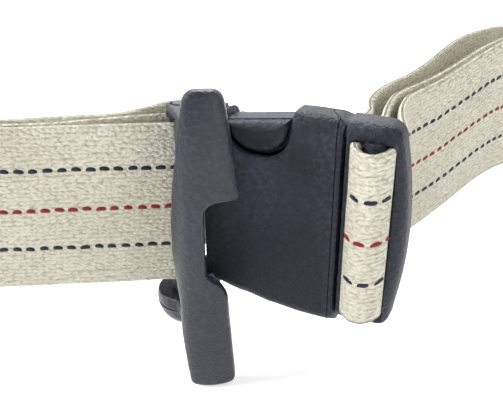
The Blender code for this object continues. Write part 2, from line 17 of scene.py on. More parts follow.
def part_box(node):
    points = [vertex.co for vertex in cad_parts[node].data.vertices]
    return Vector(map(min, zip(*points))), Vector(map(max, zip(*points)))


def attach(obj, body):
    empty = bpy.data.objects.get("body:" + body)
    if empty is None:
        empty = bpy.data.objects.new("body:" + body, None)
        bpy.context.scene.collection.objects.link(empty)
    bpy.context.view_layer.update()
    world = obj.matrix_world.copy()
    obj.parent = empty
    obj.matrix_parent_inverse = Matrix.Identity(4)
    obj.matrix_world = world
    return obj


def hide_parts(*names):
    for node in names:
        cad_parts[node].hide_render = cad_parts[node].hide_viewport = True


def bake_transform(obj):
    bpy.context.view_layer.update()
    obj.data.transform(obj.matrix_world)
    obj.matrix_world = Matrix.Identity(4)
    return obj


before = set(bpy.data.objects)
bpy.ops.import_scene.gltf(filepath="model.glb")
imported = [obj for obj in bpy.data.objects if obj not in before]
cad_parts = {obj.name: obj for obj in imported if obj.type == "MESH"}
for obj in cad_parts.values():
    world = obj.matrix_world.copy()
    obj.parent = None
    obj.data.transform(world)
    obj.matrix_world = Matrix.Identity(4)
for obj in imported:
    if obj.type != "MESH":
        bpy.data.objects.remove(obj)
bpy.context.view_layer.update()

MM = 0.001
HOUSING_LOW, HOUSING_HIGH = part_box("receiver_housing")
ORIGIN = Vector((HOUSING_HIGH.x, HOUSING_HIGH.y - 6 * MM, (HOUSING_LOW.z + HOUSING_HIGH.z) / 2))
TO_FRAME = Matrix.Translation(ORIGIN) @ Matrix.Scale(MM, 4)

CLEARANCE = 0.3  # round a bar, in what turns on it
CIRCLE_POINTS = 48

# Strap.  A stripe's row is its place across the strap and its yarn.
STRAP_WIDTH = 50.8
STRAP_THICKNESS = 2.2
LAYER_PITCH = 2.8
TURN_RADIUS = 8.0
PATH_STEP = 2.0
DASH_PITCH = 3.95
DASH_LENGTH = 2.95
DASH_WIDTH = 1.6
DASH_HEIGHT = 0.42
STRIPES = ((12.3, "navy"), (0.0, "red"), (-12.3, "navy"))
ROW_PITCH = 1.25
FLOAT_LENGTH = 1.75
HERRINGBONE_WIDTH = 3.1
HERRINGBONE_SLANT = 0.62
STITCH_COUNT = 13
STITCH_PITCH = 3.6
STITCH_HALF_LENGTH = 1.45
STITCH_TAPER = ((-1.0, 0.10), (-0.75, 0.30), (0.0, 0.36), (0.75, 0.30), (1.0, 0.10))

# Receiver half.  HOUSING_SIDE gives the half height at each x, outlines are (x, z), and each row of
# PAD_SWELL is an inset from the pad's rim and the half thickness there.
HOUSING_LENGTH = 43.0
HALF_THICKNESS = 6.0
HOUSING_SIDE = ((0.0, 31.2), (-3.0, 31.9), (-11.0, 32.0), (-20.0, 31.4), (-30.0, 30.0), (-43.0, 27.7))
SHOULDER_ROUND = 4.2
CAVITY_DEPTH = 38.5
CAVITY_HALF_THICKNESS = 3.6
CAVITY_HALF_HEIGHT = 26.0
WINDOW_X = -25.6
WINDOW_HALF_LENGTH = 10.9
WINDOW_TOP = 31.0
WINDOW_CHAMFER = 0.6
WINDOW_DEPTH = 13.6
PAD_GAP = 0.45
PAD_TOP = ((-15.7, 29.6), (-36.0, 26.6))
PAD_SWELL = ((0.0, 2.8), (0.15, 3.3), (0.65, 3.45), (1.0, 4.5), (1.8, 5.2), (3.0, 5.5), (4.5, 5.6))
ARM_OUTLINE = ((-0.5, 21.5), (-0.5, 25.2), (-15.0, 25.2), (-18.0, 25.8), (-30.0, 25.0),
               (-34.0, 23.5), (-33.0, 21.5))
GUIDE_OUTLINE = ((1.9, 21.5), (1.9, 25.2), (-30.0, 25.2), (-34.0, 23.5), (-33.0, 21.5))
UPPER_CHEEK = (27.4, 28.8)
LOWER_CHEEK = (-28.4, -24.4)
UPPER_EYE_RADIUS = 3.8
LOWER_EYE_RADIUS = 5.0
LOWER_CHEEK_REACH = 4.5

# Lock bar and lever.  Arms are given by their lowest and highest z.
BAR_X = -47.7
BAR_Y = -9.5
BAR_RADIUS = 3.0
PIN_RADIUS = 2.2
UPPER_ARM = (29.2, 31.0)
LOWER_ARM = (-33.0, -28.8)
HUB_RADIUS = 9.7
HUB_CENTRE_Z = -31.8
POCKET_RADIUS = 6.8
HANDLE_ANGLE = radians(26.4)
HANDLE_X = -29.5
HANDLE_Y = -27.2
HANDLE_THICKNESS = 3.8

# Insert half.  ROLL holds the strap's knots round the bar, as x, y and rise from the bar's centre.
FRAME_LENGTH = 18.2
FRAME_TOP = 31.6
FRAME_BOTTOM = -29.0
FRAME_TOP_ROUND = 4.4
FRAME_BOTTOM_ROUND = 4.0
FRAME_BULGE = 0.0043
TAPER_START = 3.0
TAPER_RUN = 15
BACK_TAPER = 0.45
SLOT_START = 2.5
SLOT_END = 13.9
SLOT_HALF_HEIGHT = 26.2
SLOT_CHAMFER = 0.7
LOW_RAIL_FRONT = -3.1
INSERT_BAR_X = 8.2
INSERT_BAR_Y = -4.5
INSERT_BAR_RADIUS = 3.0
ROLL_REACH = 4.4
ROLL = ((4.4, 0.0, 0.5), (4.9, -2.4, 1.4), (4.0, -4.8, 1.1), (1.6, -6.1, 0.3), (-1.8, -6.1, 0.3),
        (-4.2, -4.8, 1.1), (-5.0, -2.4, 1.4), (-4.4, 0.0, 0.5))

# Routes of the strap's two arms.  A leg is a length and a turn in degrees, a row of RISE is a length
# along the right arm and a height, and BEHIND_BUCKLE holds knots (x, y, z).
LEFT_HEADING = radians(211.5)
LEFT_LIFT = 1.6
LEFT_LEGS = ((60.0, 0.0), (238.0, -28.5))
TAIL_LENGTH = 150.0
HEM_LENGTH = 16.0
RIGHT_LEGS = ((11.0, 0.0), (8.0, 22.0), (6.0, 0.0), (30.0, -45.0), (60.0, 0.0), (147.0, 20.0))
FOLD_LENGTH = 112.0
RISE = ((12.0, 0.0), (48.0, 3.0), (105.0, 12.5), (225.0, 0.0))
BEHIND_BUCKLE = ((-67.0, -15.0, 1.6), (-62.0, -6.0, 1.6), (-58.5, 3.0, 1.6), (-52.5, 10.0, 0.6),
                 (-44.0, 12.5, -1.0), (-30.0, 12.0, -2.0), (-16.0, 11.5, -1.5), (-8.4, 12.5, -0.5))

# Stage, in metres.  A lamp is a name, its place from the buckle, its size and its power.
FLOOR_FRONT = -2.5
FLOOR_HALF_WIDTH = 4.0
FLOOR_DROP = 0.0005
WALL_CURVE_START = 1.2
WALL_CURVE_RADIUS = 0.6
WALL_TOP = 3.2
FLOOR_GLOW = 0.45
WORLD_STRENGTH = 0.38
LAMPS = (("top_back", (-0.25, 0.45, 0.75), 0.5, 11.5),
         ("left_front", (-0.75, -0.55, 0.45), 0.3, 10.5),
         ("right_front", (0.95, -0.45, 0.50), 0.8, 5.5))

# Camera, placed in the buckle's frame
CAMERA_PLACE = (49.0, -158.4, 83.2)
CAMERA_HEADING = 26.4
CAMERA_TILT = 65.0
CAMERA_LENS = 46.3  # mm, on a 36 mm wide sensor


# ---------------------------------------------------------------- materials

class Nodes:
    """Short calls for building one material's nodes."""

    def __init__(self, name):
        self.material = bpy.data.materials.new(name)
        self.material.use_nodes = True
        self.tree = self.material.node_tree
        self.shader = self.tree.nodes["Principled BSDF"]

    def add(self, kind, **inputs):
        node = self.tree.nodes.new(kind)
        for key, value in inputs.items():
            self.put(node, key.replace("_", " "), value)
        return node

    def put(self, node, key, value):
        socket = node.inputs[int(key)] if key.isdigit() else node.inputs[key]
        if isinstance(value, bpy.types.NodeSocket):
            self.tree.links.new(value, socket)
        else:
            socket.default_value = value

    def math(self, operation, a, b=0.0):
        node = self.tree.nodes.new("ShaderNodeMath")
        node.operation = operation
        self.put(node, "0", a)
        self.put(node, "1", b)
        return node.outputs[0]

    def mix(self, factor, a, b):
        node = self.tree.nodes.new("ShaderNodeMix")
        node.data_type = "RGBA"
        self.put(node, "0", factor)
        for index, colour in (("6", a), ("7", b)):
            plain = not isinstance(colour, bpy.types.NodeSocket)
            self.put(node, index, (*colour, 1.0) if plain else colour)
        return node.outputs[2]

    def ramp(self, value, low, high):
        """0 below low and 1 above high, with an even slope between."""
        node = self.add("ShaderNodeMapRange", Value=value, From_Min=low, From_Max=high)
        return node.outputs[0]

    def noise(self, vector, scale, detail=2.0):
        return self.add("ShaderNodeTexNoise", Vector=vector, Scale=scale, Detail=detail).outputs[0]

    def bump(self, height, distance, normal=None, strength=1.0):
        node = self.add("ShaderNodeBump", Height=height, Distance=distance, Strength=strength)
        if normal:
            self.put(node, "Normal", normal)
        return node.outputs[0]

    def object_space(self):
        return self.tree.nodes.new("ShaderNodeTexCoord").outputs["Object"]

    def surface_space(self):
        """Along and across the strap, in metres, from the UV map."""
        uv = self.tree.nodes.new("ShaderNodeUVMap")
        uv.uv_map = "strap"
        split = self.add("ShaderNodeSeparateXYZ", Vector=uv.outputs[0])
        return split.outputs[0], split.outputs[1]

    def finish(self, **inputs):
        for key, value in inputs.items():
            self.put(self.shader, key.replace("_", " "), value)
        return self.material


def cotton():
    """Herringbone weave: rows of plump yarn floats whose slant turns at each column."""
    n = Nodes("woven_cotton")
    along, across = n.surface_space()
    row = n.math("DIVIDE", across, ROW_PITCH * MM)
    zigzag = n.math("PINGPONG", across, HERRINGBONE_WIDTH * MM)
    slanted = n.math("ADD", along, n.math("MULTIPLY", zigzag, HERRINGBONE_SLANT))
    column = n.math("DIVIDE", slanted, FLOAT_LENGTH * MM)
    shift = n.math("MULTIPLY", n.math("FLOOR", row), 0.5)
    grid = n.add("ShaderNodeCombineXYZ", X=n.math("ADD", column, shift), Y=row)
    floats = n.add("ShaderNodeTexVoronoi", Vector=grid.outputs[0], Scale=1.0, Randomness=0.55)
    floats.voronoi_dimensions = "2D"
    plump = n.math("SUBTRACT", 1.0, floats.outputs["Distance"])
    place = n.object_space()
    fibres = n.noise(place, 5200.0, 3.0)
    yarn = n.noise(place, 900.0, 2.0)
    age = n.noise(place, 38.0, 3.0)
    gap = n.ramp(floats.outputs["Distance"], 0.36, 0.66)
    gap = n.math("MULTIPLY", gap, n.ramp(yarn, 0.18, 0.55))
    cream = n.mix(n.ramp(age, 0.35, 0.7), (0.56, 0.537, 0.435), (0.64, 0.62, 0.525))
    cream = n.mix(n.math("MULTIPLY", n.ramp(yarn, 0.35, 0.75), 0.30), cream, (0.55, 0.515, 0.40))
    colour = n.mix(n.math("MULTIPLY", gap, 0.72), cream, (0.30, 0.275, 0.185))
    height = n.math("ADD", plump, n.math("MULTIPLY", fibres, 0.25))
    normal = n.bump(height, 0.85 * MM, n.bump(yarn, 0.6 * MM))
    return n.finish(Base_Color=colour, Normal=normal, Roughness=0.92, Sheen_Weight=0.25,
                    Sheen_Roughness=0.5, Specular_IOR_Level=0.15)


def yarn(name, dark, light):
    """Dyed yarn of a stripe: a twisted thread with a few paler fibres."""
    n = Nodes(name)
    along, across = n.surface_space()
    ply = n.math("ADD", n.math("MULTIPLY", along, 2 * pi / (0.55 * MM)),
                 n.math("MULTIPLY", across, 2 * pi / (0.8 * MM)))
    twist = n.math("SINE", ply)
    fibres = n.noise(n.object_space(), 3800.0, 3.0)
    colour = n.mix(n.ramp(fibres, 0.45, 0.75), dark, light)
    height = n.math("ADD", n.math("MULTIPLY", twist, 0.5), fibres)
    return n.finish(Base_Color=colour, Normal=n.bump(height, 0.18 * MM), Roughness=0.85,
                    Sheen_Weight=0.15, Specular_IOR_Level=0.2)


def sewing_thread():
    """Off-white thread with fine fibres."""
    n = Nodes("sewing_thread")
    place = n.object_space()
    fibres = n.noise(place, 6000.0, 2.0)
    colour = n.mix(fibres, (0.62, 0.59, 0.49), (0.80, 0.78, 0.70))
    return n.finish(Base_Color=colour, Normal=n.bump(fibres, 0.1 * MM), Roughness=0.7)


def plastic(name, colour, worn_and_highlight, roughness, grain, shine):
    """Moulded acetal: spark-eroded grain, faint flow marks, and paler edges, partly rubbed wear and
    partly a painted highlight.
    """
    n = Nodes(name)
    place = n.object_space()
    fine = n.noise(place, 2600.0, 2.0)
    coarse = n.noise(place, 800.0, 3.0)
    flow = n.noise(place, 60.0, 3.0)
    # Convex edges, found by pointiness, are painted paler: partly rubbed wear, partly a painted
    # highlight along the edges
    edge = n.ramp(n.tree.nodes.new("ShaderNodeNewGeometry").outputs["Pointiness"], 0.515, 0.60)
    rubbed_and_highlit_edge = n.math("MULTIPLY", edge, n.ramp(coarse, 0.3, 0.7))
    shade = n.mix(n.ramp(flow, 0.3, 0.7), colour, tuple(c * 1.35 for c in colour))
    shade = n.mix(n.math("MULTIPLY", n.ramp(coarse, 0.45, 0.75), 0.35), shade, worn_and_highlight)
    shade = n.mix(n.math("MULTIPLY", rubbed_and_highlit_edge, 0.6), shade, tuple(c * 3.0 for c in worn_and_highlight))
    gloss = n.math("ADD", roughness - 0.08, n.math("MULTIPLY", flow, 0.16))
    height = n.math("ADD", n.math("MULTIPLY", fine, 0.6), coarse)
    return n.finish(Base_Color=shade, Roughness=gloss, Normal=n.bump(height, grain * MM),
                    IOR=1.48, Specular_IOR_Level=shine)


def ground_steel():
    """Blackened steel with grinding marks along its length."""
    n = Nodes("ground_steel")
    place = n.object_space()
    stretched = n.add("ShaderNodeMapping", Vector=place, Scale=(1.0, 1.0, 0.04))
    grind = n.noise(stretched.outputs[0], 4000.0, 2.0)
    stain = n.noise(place, 150.0, 3.0)
    colour = n.mix(n.ramp(stain, 0.4, 0.7), (0.085, 0.086, 0.092), (0.045, 0.045, 0.048))
    gloss = n.math("ADD", 0.34, n.math("MULTIPLY", grind, 0.2))
    return n.finish(Base_Color=colour, Metallic=1.0, Roughness=gloss,
                    Normal=n.bump(grind, 0.04 * MM))


MATERIALS = {
    "cotton": cotton(),
    "navy": yarn("navy_yarn", (0.006, 0.008, 0.022), (0.022, 0.027, 0.055)),
    "red": yarn("red_yarn", (0.18, 0.007, 0.012), (0.31, 0.02, 0.03)),
    "thread": sewing_thread(),
    "housing_plastic": plastic("housing_acetal", (0.006, 0.0075, 0.013), (0.026, 0.030, 0.042),
                               0.42, 0.40, 0.26),
    "lever_plastic": plastic("lever_acetal", (0.010, 0.0105, 0.018), (0.055, 0.059, 0.078),
                             0.34, 0.30, 0.42),
    "steel": ground_steel(),
}


# ---------------------------------------------------------------- mesh helpers

def new_object(name, bm):
    """Object from a bmesh, which is used up."""
    mesh = bpy.data.meshes.new(name)
    bm.to_mesh(mesh)
    bm.free()
    obj = bpy.data.objects.new(name, mesh)
    bpy.context.scene.collection.objects.link(obj)
    return obj


def baked(obj):
    """The object with its modifiers applied."""
    bpy.context.view_layer.update()
    graph = bpy.context.evaluated_depsgraph_get()
    mesh = bpy.data.meshes.new_from_object(obj.evaluated_get(graph))
    name = obj.name
    bpy.data.objects.remove(obj, do_unlink=True)
    done = bpy.data.objects.new(name, mesh)
    bpy.context.scene.collection.objects.link(done)
    return done


def with_modifier(obj, kind, **settings):
    """The object with one modifier added and applied."""
    modifier = obj.modifiers.new(kind.lower(), kind)
    for key, value in settings.items():
        setattr(modifier, key, value)
    return baked(obj)


def combine(obj, operation, others):
    """Union, difference or intersection with other solids, which are used up."""
    for other in others:
        obj = with_modifier(obj, "BOOLEAN", operation=operation, object=other, solver="EXACT")
        bpy.data.objects.remove(other, do_unlink=True)
    return obj


def join(obj, others):
    """One object out of several, each solid kept whole."""
    bm = bmesh.new()
    for part in [obj, *others]:
        bm.from_mesh(part.data)
    name = obj.name
    for part in [obj, *others]:
        bpy.data.objects.remove(part, do_unlink=True)
    return new_object(name, bm)


def finish(obj, slot, body, replaces=(), angle=38.0):
    """Move a piece to the row frame, and give it its finish, its body and the nodes it stands for."""
    obj.data.transform(TO_FRAME)
    obj.data.materials.clear()
    obj.data.materials.append(MATERIALS[slot])
    obj.data.shade_smooth()
    obj.data.set_sharp_from_angle(angle=radians(angle))
    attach(obj, body)
    if replaces:
        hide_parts(*replaces)
    return obj


def loft(name, rings):
    """Closed solid through rings of the same number of points, with a flat cap on each end."""
    bm = bmesh.new()
    rows = [[bm.verts.new(p) for p in ring] for ring in rings]
    count = len(rings[0])
    for low, high in zip(rows, rows[1:]):
        for i in range(count):
            j = (i + 1) % count
            bm.faces.new((low[i], low[j], high[j], high[i]))
    bm.faces.new(rows[0])
    bm.faces.new(list(reversed(rows[-1])))
    bmesh.ops.remove_doubles(bm, verts=bm.verts, dist=0.001)
    bmesh.ops.recalc_face_normals(bm, faces=bm.faces)
    return new_object(name, bm)


def round_corners(corners, steps=5):
    """Outline through (x, y, radius) corners, each turned into an arc of that radius."""
    outline = []
    count = len(corners)
    for i, (x, y, radius) in enumerate(corners):
        here = Vector((x, y))
        before = (Vector(corners[i - 1][:2]) - here).normalized()
        after = (Vector(corners[(i + 1) % count][:2]) - here).normalized()
        half = before.angle(after) / 2
        reach = radius / abs(sin(half) / cos(half))
        centre = here + (before + after).normalized() * radius / sin(half)
        start = here + before * reach - centre
        turn = start.angle_signed(here + after * reach - centre)
        for k in range(steps + 1):
            outline.append(centre + start @ Matrix.Rotation(turn * k / steps, 2))
    return outline


def circle(x, y, radius):
    """Outline of a circle."""
    angles = [2 * pi * k / CIRCLE_POINTS for k in range(CIRCLE_POINTS)]
    return [Vector((x + radius * cos(a), y + radius * sin(a))) for a in angles]


def hull(points):
    """Convex outline round the points."""
    return [points[i] for i in convex_hull_2d(points)]


def upright(outline, y):
    """Outline drawn in X and Z, set at depth y."""
    return [Vector((p[0], y, p[1])) for p in outline]


def lying(outline, z):
    """Outline drawn in X and Y, set at height z."""
    return [Vector((p[0], p[1], z)) for p in outline]


def rounded_plate(name, outline, front, back, side_round, end_round):
    """Upright plate with rounded edges.  outline(end_inset, side_inset) gives one ring's outline."""
    steps = 6
    rings = []
    for face, sign in ((front, 1), (back, -1)):
        ring = []
        for k in range(steps + 1):
            a = pi / 2 * k / steps
            depth = side_round * (1 - cos(a))
            end_inset, side_inset = end_round * (1 - sin(a)), side_round * (1 - sin(a))
            ring.append(upright(outline(end_inset, side_inset), face + sign * depth))
        rings += ring if sign == 1 else reversed(ring)
    return loft(name, rings)


def rounded_slab(name, outline, low, high, edge):
    """Thin upright slab whose outline is drawn in by a small rounding on both faces."""
    steps = 3
    count = len(outline)
    centre = sum(outline, Vector((0, 0))) / count
    inward = []
    for i, point in enumerate(outline):
        along = (outline[(i + 1) % count] - outline[i - 1]).normalized()
        side = Vector((-along.y, along.x))
        inward.append(side if side.dot(centre - point) > 0 else -side)
    rings = []
    for k in range(steps + 1):
        a = pi / 2 * k / steps
        ring = [p + side * edge * (1 - sin(a)) for p, side in zip(outline, inward)]
        rings.append((low + edge * (1 - cos(a)), ring))
    rings += [(low + high - y, ring) for y, ring in reversed(rings)]
    return loft(name, [upright(ring, y) for y, ring in rings])


def box(name, low, high):
    """Box between two opposite corners."""
    corners = [(low[0], low[2]), (high[0], low[2]), (high[0], high[2]), (low[0], high[2])]
    return loft(name, [upright(corners, low[1]), upright(corners, high[1])])


def rod(name, x, y, radius, low, high):
    """Upright rod with a small chamfer at each end."""
    edge = 0.2
    rings = [(radius - edge, low), (radius, low + edge), (radius, high - edge), (radius - edge, high)]
    return loft(name, [lying(circle(x, y, r), z) for r, z in rings])


def profile(s, table):
    """Value at s, eased between the table's rows (place, value)."""
    if s <= table[0][0]:
        return table[0][1]
    for (s0, v0), (s1, v1) in zip(table, table[1:]):
        if s <= s1:
            t = (s - s0) / (s1 - s0)
            return v0 + (v1 - v0) * t * t * (3 - 2 * t)
    return table[-1][1]


# ---------------------------------------------------------------- receiver half

def window_outline(inset):
    """The D-shaped side window: a flat arc whose two ends rise steeply past the housing's edge."""
    top = WINDOW_TOP + 4.0
    outline = []
    for k in range(41):
        a = pi + pi * k / 40
        x = WINDOW_X + (WINDOW_HALF_LENGTH - inset) * abs(cos(a)) ** 0.8 * (1 if cos(a) > 0 else -1)
        down = (WINDOW_DEPTH - inset) * abs(sin(a)) ** 0.75
        outline.append((x, WINDOW_TOP - down))
    return [Vector(p) for p in outline + [(outline[-1][0], top), (outline[0][0], top)]]


def shoulder_lobe(grow):
    """Block with the curved plan of the insert's ear, which laps over the receiver's mouth."""
    plan = [(1.2, -4.6), (-0.2 - grow, -4.4), (-2.6 - grow, -3.0), (-4.6 - grow, -0.6),
            (-5.8 - grow, 2.4), (-6.2 - grow, 7.5), (1.2, 7.5)]
    outline = [Vector(p) for p in plan]
    return loft("lobe", [lying(outline, 26.6 - grow), lying(outline, 34.0)])


def housing_half_height(x):
    """Half height of the housing at x, eased between the rows of HOUSING_SIDE."""
    return profile(-x, [(-row[0], row[1]) for row in HOUSING_SIDE])


def housing_shell(start, end):
    """The housing's outer form between two places along X."""
    def outline(end_inset, side_inset):
        a, b = end - end_inset, start + end_inset
        stations = [a + (b - a) * (0.5 - 0.5 * cos(pi * k / 20)) for k in range(21)]
        top = [(x, housing_half_height(x) - side_inset) for x in stations]
        return [Vector(p) for p in top + [(x, -z) for x, z in reversed(top)]]
    return rounded_plate("receiver", outline, -HALF_THICKNESS, HALF_THICKNESS, SHOULDER_ROUND, 0.5)


def groove(x, depth, width):
    """Ring-shaped cutter for a shallow parting line round the housing."""
    outer = box("groove", (x - width / 2, -9, -36), (x + width / 2, 9, 36))

    def inner_outline(end_inset, side_inset):
        high = housing_half_height(x) - depth - side_inset
        return round_corners([(x + 2, -high, 0.3), (x + 2, high, 0.3), (x - 2, high, 0.3),
                              (x - 2, -high, 0.3)], 2)
    face = HALF_THICKNESS - depth
    inner = rounded_plate("inner", inner_outline, -face, face, SHOULDER_ROUND - depth, 0.0)
    return combine(outer, "DIFFERENCE", [inner])


def receiver_housing():
    """Hollow shell with its window and parting line, and the two ears that hold the lock bar."""
    body = housing_shell(-HOUSING_LENGTH, 0.0)
    cuts = [box("cavity", (-CAVITY_DEPTH, -CAVITY_HALF_THICKNESS, -CAVITY_HALF_HEIGHT),
                (1.0, CAVITY_HALF_THICKNESS, CAVITY_HALF_HEIGHT))]
    edge = HALF_THICKNESS - WINDOW_CHAMFER
    rim = [(-8.0, -WINDOW_CHAMFER), (-HALF_THICKNESS, -WINDOW_CHAMFER), (-edge, 0.0),
           (edge, 0.0), (HALF_THICKNESS, -WINDOW_CHAMFER), (8.0, -WINDOW_CHAMFER)]
    cuts.append(loft("window", [upright(window_outline(inset), y) for y, inset in rim]))
    cuts += [shoulder_lobe(0.35), groove(-1.9, 0.3, 0.4)]
    body = combine(body, "DIFFERENCE", cuts)
    cheeks = []
    for (low, high), eye, shaft, reach in (
            (UPPER_CHEEK, UPPER_EYE_RADIUS, PIN_RADIUS, 0.0),
            (LOWER_CHEEK, LOWER_EYE_RADIUS, BAR_RADIUS, LOWER_CHEEK_REACH)):
        half = HALF_THICKNESS - 2.2
        foot = [Vector((4 - HOUSING_LENGTH, y)) for y in (-half, half)]
        foot.append(Vector((-HOUSING_LENGTH - reach, half)))
        outline = hull(circle(BAR_X, BAR_Y, eye) + foot)
        ear = loft("cheek", [lying(outline, low), lying(outline, high)])
        hole = rod("hole", BAR_X, BAR_Y, shaft + CLEARANCE, low - 1, high + 1)
        cheeks.append(combine(ear, "DIFFERENCE", [hole]))
    return finish(join(body, cheeks), "housing_plastic", "receiver", ["receiver_housing"])


# ---------------------------------------------------------------- insert half

def insert_outline(end_inset, side_inset):
    """Straight beside the mouth, with a bulging far end and round corners."""
    left = 0.3 + end_inset
    top, bottom = FRAME_TOP - side_inset, FRAME_BOTTOM + side_inset

    def right(z):
        return FRAME_LENGTH - side_inset - FRAME_BULGE * z * z
    outline = [(left, bottom), (left, top)]
    for k in range(6):
        a = pi / 2 * k / 5
        outline.append((right(27.0) - FRAME_TOP_ROUND + FRAME_TOP_ROUND * sin(a),
                        top - FRAME_TOP_ROUND + FRAME_TOP_ROUND * cos(a)))
    outline += [(right(z), z) for z in range(24, -23, -3)]
    for k in range(6):
        a = pi / 2 * k / 5
        outline.append((right(24.0) - FRAME_BOTTOM_ROUND + FRAME_BOTTOM_ROUND * cos(a),
                        bottom + FRAME_BOTTOM_ROUND - FRAME_BOTTOM_ROUND * sin(a)))
    return [Vector(p) for p in outline]


def insert_frame():
    """Slotted frame whose back tapers, with its ear, bar, tongue and lower guide arm."""
    body = rounded_plate("insert", insert_outline, -HALF_THICKNESS, HALF_THICKNESS,
                         SHOULDER_ROUND - 0.6, 0.5)
    for vert in body.data.vertices:
        if vert.co.y > 0 and vert.co.x > TAPER_START:
            vert.co.y *= 1 - BACK_TAPER * (vert.co.x - TAPER_START) / TAPER_RUN
    lobe = combine(housing_shell(-12.0, 1.5), "INTERSECT", [shoulder_lobe(0.0)])
    high = SLOT_HALF_HEIGHT
    edge = HALF_THICKNESS - SLOT_CHAMFER
    rim = [(-8.0, SLOT_CHAMFER), (-HALF_THICKNESS, SLOT_CHAMFER), (-edge, 0.0),
           (edge, 0.0), (HALF_THICKNESS, SLOT_CHAMFER), (8.0, SLOT_CHAMFER)]
    slot = loft("slot", [upright(round_corners(
        [(SLOT_START - g, -high - g, 1.2), (SLOT_START - g, high + g, 1.2),
         (SLOT_END + g, high + g, 1.2), (SLOT_END + g, -high - g, 1.2)]), y) for y, g in rim])
    low_rail = box("low_rail", (SLOT_START - 0.3, -12, -34), (SLOT_END + 0.3, LOW_RAIL_FRONT, 3 - high))
    body = combine(body, "DIFFERENCE", [slot, low_rail])
    bar = rod("bar", INSERT_BAR_X, INSERT_BAR_Y, INSERT_BAR_RADIUS, -high - 0.6, high + 0.8)
    guide = [Vector((x, -z)) for x, z in GUIDE_OUTLINE]
    guide = rounded_slab("guide", guide, -3.2, 3.2, 0.35)
    tongue = round_corners([(1.5, -8.0, 0.3), (1.5, 8.0, 0.3), (-31.0, 6.5, 2.0), (-31.0, -6.5, 2.0)])
    blade = rounded_slab("tongue", [Vector(p) for p in tongue], -2.8, 2.8, 0.6)
    solids = [lobe, bar, blade, guide]
    return finish(join(body, solids), "housing_plastic", "insert", ["insert_frame"])


def squeeze_prong():
    """Springy arm whose pad stands in the side window.  Its thin rim fits under the window's edge."""
    body = rounded_slab("upper_prong", [Vector(p) for p in ARM_OUTLINE], -3.2, 3.2, 0.35)
    (x0, z0), (x1, z1) = PAD_TOP
    rings = []
    for inset, depth in PAD_SWELL:
        ring = []
        for p in window_outline(PAD_GAP + inset):
            ceiling = z0 + (z1 - z0) * (p.x - x0) / (x1 - x0) - 0.7 * inset
            ring.append(Vector((p.x, min(p.y, ceiling))))
        rings.append((ring, depth))
    front = [upright(ring, -depth) for ring, depth in reversed(rings)]
    pad = loft("pad", front + [upright(ring, depth) for ring, depth in rings])
    return finish(join(body, [pad]), "housing_plastic", "upper_prong", ["upper_prong"])


# ---------------------------------------------------------------- lever

def handle_place():
    """Matrix from the handle's own plane (across, up, towards the viewer) to the buckle's frame."""
    across = Vector((cos(HANDLE_ANGLE), sin(HANDLE_ANGLE), 0))
    front = Vector((sin(HANDLE_ANGLE), -cos(HANDLE_ANGLE), 0))
    matrix = Matrix((across, (0, 0, 1), front)).transposed().to_4x4()
    matrix.translation = (HANDLE_X, HANDLE_Y, 0)
    return matrix


def bowed_handle():
    """Grip seen from the front: a thumb wing above, a mast, and a finger tab below."""
    # Corners (across, up, radius), clockwise from the wing's upper left
    corners = [(-4.8, 41.8, 3.6), (5.0, 41.8, 3.6), (9.3, 11.8, 1.0), (-0.35, 12.4, 3.4),
               (-0.35, -9.6, 2.4), (3.6, -12.6, 2.0), (5.4, -16.5, 4.0), (7.3, -48.5, 1.6),
               (-6.0, -48.5, 1.6), (-7.9, -30.0, 8.0), (-8.0, -20.0, 8.0), (-9.8, -6.0, 8.0),
               (-9.8, 4.0, 20.0), (-9.0, 13.0, 30.0)]
    outline = round_corners(corners)
    bm = bmesh.new()
    bm.faces.new([bm.verts.new((x, y, 0.0)) for x, y in outline])
    bmesh.ops.triangulate(bm, faces=bm.faces)
    plate = new_object("plate", bm)
    plate = with_modifier(plate, "SOLIDIFY", thickness=HANDLE_THICKNESS, offset=-1.0)
    plate = with_modifier(plate, "REMESH", mode="VOXEL", voxel_size=0.6)
    plate = with_modifier(plate, "SMOOTH", factor=0.5, iterations=8)
    # Set back from the crown: both edges, the left edge again, the wing, the top and the foot.
    for vert in plate.data.vertices:
        s, z, d = vert.co
        d -= 0.036 * (s + 1.0) ** 2
        d -= 0.10 * max(0.0, -4.5 - s) ** 2
        d -= 0.10 * max(0.0, s - 2.0) * min(1.0, max(0.0, z / 12.0))
        d -= 1.6 * max(0.0, (z - 26.0) / 17.0) ** 2
        d -= 1.8 * max(0.0, (-z - 24.0) / 22.0) ** 2
        vert.co = (s, z, d)
    plate.data.transform(handle_place())
    return plate


def lever_arm(name, radius, low, high, reach):
    """Arm from the hub on the lock bar to the back of the handle."""
    place = handle_place()
    back = [(place @ Vector((s, 0, -d))).xy for s in reach for d in (1.5, 3.5)]
    outline = hull(circle(BAR_X, BAR_Y, radius) + back)
    return loft(name, [lying(outline, low), lying(outline, high)])


def dome(name, radius, height, centre_z, top, bottom):
    """Ball-like hub on the lock bar's line, cut flat at its top and bottom."""
    rings = []
    for k in range(17):
        z = top + (bottom - top) * k / 16
        share = max(0.0, 1 - ((z - centre_z) / height) ** 2)
        rings.append(lying(circle(BAR_X, BAR_Y, max(0.3, radius * sqrt(share))), z))
    return loft(name, rings)


